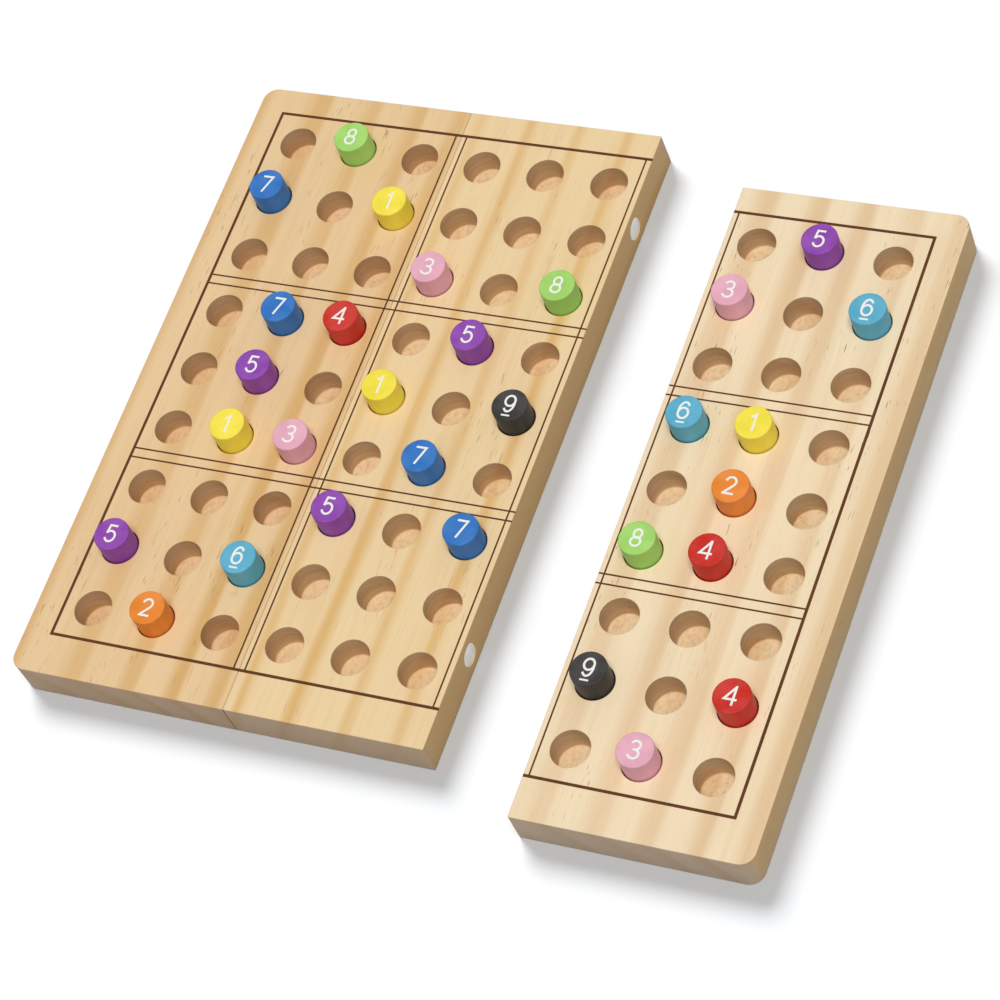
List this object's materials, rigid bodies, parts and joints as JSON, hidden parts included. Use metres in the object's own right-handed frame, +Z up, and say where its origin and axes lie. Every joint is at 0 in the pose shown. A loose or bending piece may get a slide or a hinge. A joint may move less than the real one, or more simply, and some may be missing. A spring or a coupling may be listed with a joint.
{
  "type": "sudoku board",
  "caption": "Wooden sudoku game of drilled pine boards that meet edge to edge on magnets, with painted number pegs that lift out of blind holes.",
  "frame": {"origin": "on the underside, below the middle hole of the middle board", "axes": "+X across the columns to the right, +Y towards the first row, +Z up"},
  "size_m": [0.2635, 0.2515, 0.0225],
  "materials": {
    "pine": "bare sanded pine",
    "magnet": "satin nickel plate",
    "paint_yellow": "satin paint on a wooden dowel",
    "paint_orange": "satin paint on a wooden dowel",
    "paint_pink": "satin paint on a wooden dowel",
    "paint_red": "satin paint on a wooden dowel",
    "paint_purple": "satin paint on a wooden dowel",
    "paint_light_blue": "satin paint on a wooden dowel",
    "paint_blue": "satin paint on a wooden dowel",
    "paint_green": "satin paint on a wooden dowel",
    "paint_black": "satin paint on a wooden dowel"
  },
  "bodies": {
    "left_panel": {"left_board": "pine", "left_board_right_magnet_far": "magnet", "left_board_right_magnet_near": "magnet"},
    "middle_panel": {"middle_board": "pine", "middle_board_left_magnet_far": "magnet", "middle_board_left_magnet_near": "magnet", "middle_board_right_magnet_far": "magnet", "middle_board_right_magnet_near": "magnet"},
    "right_panel": {"right_board": "pine", "right_board_left_magnet_far": "magnet", "right_board_left_magnet_near": "magnet"},
    "left_r1c2_peg_8": {"left_r1c2_peg_8": "paint_green"},
    "left_r2c1_peg_7": {"left_r2c1_peg_7": "paint_blue"},
    "left_r2c3_peg_1": {"left_r2c3_peg_1": "paint_yellow"},
    "left_r4c2_peg_7": {"left_r4c2_peg_7": "paint_blue"},
    "left_r4c3_peg_4": {"left_r4c3_peg_4": "paint_red"},
    "left_r5c2_peg_5": {"left_r5c2_peg_5": "paint_purple"},
    "left_r6c2_peg_1": {"left_r6c2_peg_1": "paint_yellow"},
    "left_r6c3_peg_3": {"left_r6c3_peg_3": "paint_pink"},
    "left_r8c1_peg_5": {"left_r8c1_peg_5": "paint_purple"},
    "left_r8c3_peg_6": {"left_r8c3_peg_6": "paint_light_blue"},
    "left_r9c2_peg_2": {"left_r9c2_peg_2": "paint_orange"},
    "middle_r3c1_peg_3": {"middle_r3c1_peg_3": "paint_pink"},
    "middle_r3c3_peg_8": {"middle_r3c3_peg_8": "paint_green"},
    "middle_r4c2_peg_5": {"middle_r4c2_peg_5": "paint_purple"},
    "middle_r5c1_peg_1": {"middle_r5c1_peg_1": "paint_yellow"},
    "middle_r5c3_peg_9": {"middle_r5c3_peg_9": "paint_black"},
    "middle_r6c2_peg_7": {"middle_r6c2_peg_7": "paint_blue"},
    "middle_r7c1_peg_5": {"middle_r7c1_peg_5": "paint_purple"},
    "middle_r7c3_peg_7": {"middle_r7c3_peg_7": "paint_blue"},
    "right_r1c2_peg_5": {"right_r1c2_peg_5": "paint_purple"},
    "right_r2c1_peg_3": {"right_r2c1_peg_3": "paint_pink"},
    "right_r2c3_peg_6": {"right_r2c3_peg_6": "paint_light_blue"},
    "right_r4c1_peg_6": {"right_r4c1_peg_6": "paint_light_blue"},
    "right_r4c2_peg_1": {"right_r4c2_peg_1": "paint_yellow"},
    "right_r5c2_peg_2": {"right_r5c2_peg_2": "paint_orange"},
    "right_r6c1_peg_8": {"right_r6c1_peg_8": "paint_green"},
    "right_r6c2_peg_4": {"right_r6c2_peg_4": "paint_red"},
    "right_r8c1_peg_9": {"right_r8c1_peg_9": "paint_black"},
    "right_r8c3_peg_4": {"right_r8c3_peg_4": "paint_red"},
    "right_r9c2_peg_3": {"right_r9c2_peg_3": "paint_pink"}
  },
  "joints": [
    {"name": "left_panel_pull", "type": "slide", "parent": "middle_panel", "child": "left_panel", "axis": [-1, 0, 0], "range_m": [0, 0.06]},
    {"name": "right_panel_slide", "type": "slide", "parent": "middle_panel", "child": "right_panel", "axis": [0.9072, -0.4207, 0], "range_m": [-0.038, 0.03]},
    {"name": "left_r1c2_peg_8_lift", "type": "slide", "parent": "left_panel", "child": "left_r1c2_peg_8", "axis": [0, 0, 1], "range_m": [0, 0.02]},
    {"name": "left_r2c1_peg_7_lift", "type": "slide", "parent": "left_panel", "child": "left_r2c1_peg_7", "axis": [0, 0, 1], "range_m": [0, 0.02]},
    {"name": "left_r2c3_peg_1_lift", "type": "slide", "parent": "left_panel", "child": "left_r2c3_peg_1", "axis": [0, 0, 1], "range_m": [0, 0.02]},
    {"name": "left_r4c2_peg_7_lift", "type": "slide", "parent": "left_panel", "child": "left_r4c2_peg_7", "axis": [0, 0, 1], "range_m": [0, 0.02]},
    {"name": "left_r4c3_peg_4_lift", "type": "slide", "parent": "left_panel", "child": "left_r4c3_peg_4", "axis": [0, 0, 1], "range_m": [0, 0.02]},
    {"name": "left_r5c2_peg_5_lift", "type": "slide", "parent": "left_panel", "child": "left_r5c2_peg_5", "axis": [0, 0, 1], "range_m": [0, 0.02]},
    {"name": "left_r6c2_peg_1_lift", "type": "slide", "parent": "left_panel", "child": "left_r6c2_peg_1", "axis": [0, 0, 1], "range_m": [0, 0.02]},
    {"name": "left_r6c3_peg_3_lift", "type": "slide", "parent": "left_panel", "child": "left_r6c3_peg_3", "axis": [0, 0, 1], "range_m": [0, 0.02]},
    {"name": "left_r8c1_peg_5_lift", "type": "slide", "parent": "left_panel", "child": "left_r8c1_peg_5", "axis": [0, 0, 1], "range_m": [0, 0.02]},
    {"name": "left_r8c3_peg_6_lift", "type": "slide", "parent": "left_panel", "child": "left_r8c3_peg_6", "axis": [0, 0, 1], "range_m": [0, 0.02]},
    {"name": "left_r9c2_peg_2_lift", "type": "slide", "parent": "left_panel", "child": "left_r9c2_peg_2", "axis": [0, 0, 1], "range_m": [0, 0.02]},
    {"name": "middle_r3c1_peg_3_lift", "type": "slide", "parent": "middle_panel", "child": "middle_r3c1_peg_3", "axis": [0, 0, 1], "range_m": [0, 0.02]},
    {"name": "middle_r3c3_peg_8_lift", "type": "slide", "parent": "middle_panel", "child": "middle_r3c3_peg_8", "axis": [0, 0, 1], "range_m": [0, 0.02]},
    {"name": "middle_r4c2_peg_5_lift", "type": "slide", "parent": "middle_panel", "child": "middle_r4c2_peg_5", "axis": [0, 0, 1], "range_m": [0, 0.02]},
    {"name": "middle_r5c1_peg_1_lift", "type": "slide", "parent": "middle_panel", "child": "middle_r5c1_peg_1", "axis": [0, 0, 1], "range_m": [0, 0.02]},
    {"name": "middle_r5c3_peg_9_lift", "type": "slide", "parent": "middle_panel", "child": "middle_r5c3_peg_9", "axis": [0, 0, 1], "range_m": [0, 0.02]},
    {"name": "middle_r6c2_peg_7_lift", "type": "slide", "parent": "middle_panel", "child": "middle_r6c2_peg_7", "axis": [0, 0, 1], "range_m": [0, 0.02]},
    {"name": "middle_r7c1_peg_5_lift", "type": "slide", "parent": "middle_panel", "child": "middle_r7c1_peg_5", "axis": [0, 0, 1], "range_m": [0, 0.02]},
    {"name": "middle_r7c3_peg_7_lift", "type": "slide", "parent": "middle_panel", "child": "middle_r7c3_peg_7", "axis": [0, 0, 1], "range_m": [0, 0.02]},
    {"name": "right_r1c2_peg_5_lift", "type": "slide", "parent": "right_panel", "child": "right_r1c2_peg_5", "axis": [0, 0, 1], "range_m": [0, 0.02]},
    {"name": "right_r2c1_peg_3_lift", "type": "slide", "parent": "right_panel", "child": "right_r2c1_peg_3", "axis": [0, 0, 1], "range_m": [0, 0.02]},
    {"name": "right_r2c3_peg_6_lift", "type": "slide", "parent": "right_panel", "child": "right_r2c3_peg_6", "axis": [0, 0, 1], "range_m": [0, 0.02]},
    {"name": "right_r4c1_peg_6_lift", "type": "slide", "parent": "right_panel", "child": "right_r4c1_peg_6", "axis": [0, 0, 1], "range_m": [0, 0.02]},
    {"name": "right_r4c2_peg_1_lift", "type": "slide", "parent": "right_panel", "child": "right_r4c2_peg_1", "axis": [0, 0, 1], "range_m": [0, 0.02]},
    {"name": "right_r5c2_peg_2_lift", "type": "slide", "parent": "right_panel", "child": "right_r5c2_peg_2", "axis": [0, 0, 1], "range_m": [0, 0.02]},
    {"name": "right_r6c1_peg_8_lift", "type": "slide", "parent": "right_panel", "child": "right_r6c1_peg_8", "axis": [0, 0, 1], "range_m": [0, 0.02]},
    {"name": "right_r6c2_peg_4_lift", "type": "slide", "parent": "right_panel", "child": "right_r6c2_peg_4", "axis": [0, 0, 1], "range_m": [0, 0.02]},
    {"name": "right_r8c1_peg_9_lift", "type": "slide", "parent": "right_panel", "child": "right_r8c1_peg_9", "axis": [0, 0, 1], "range_m": [0, 0.02]},
    {"name": "right_r8c3_peg_4_lift", "type": "slide", "parent": "right_panel", "child": "right_r8c3_peg_4", "axis": [0, 0, 1], "range_m": [0, 0.02]},
    {"name": "right_r9c2_peg_3_lift", "type": "slide", "parent": "right_panel", "child": "right_r9c2_peg_3", "axis": [0, 0, 1], "range_m": [0, 0.02]}
  ]
}
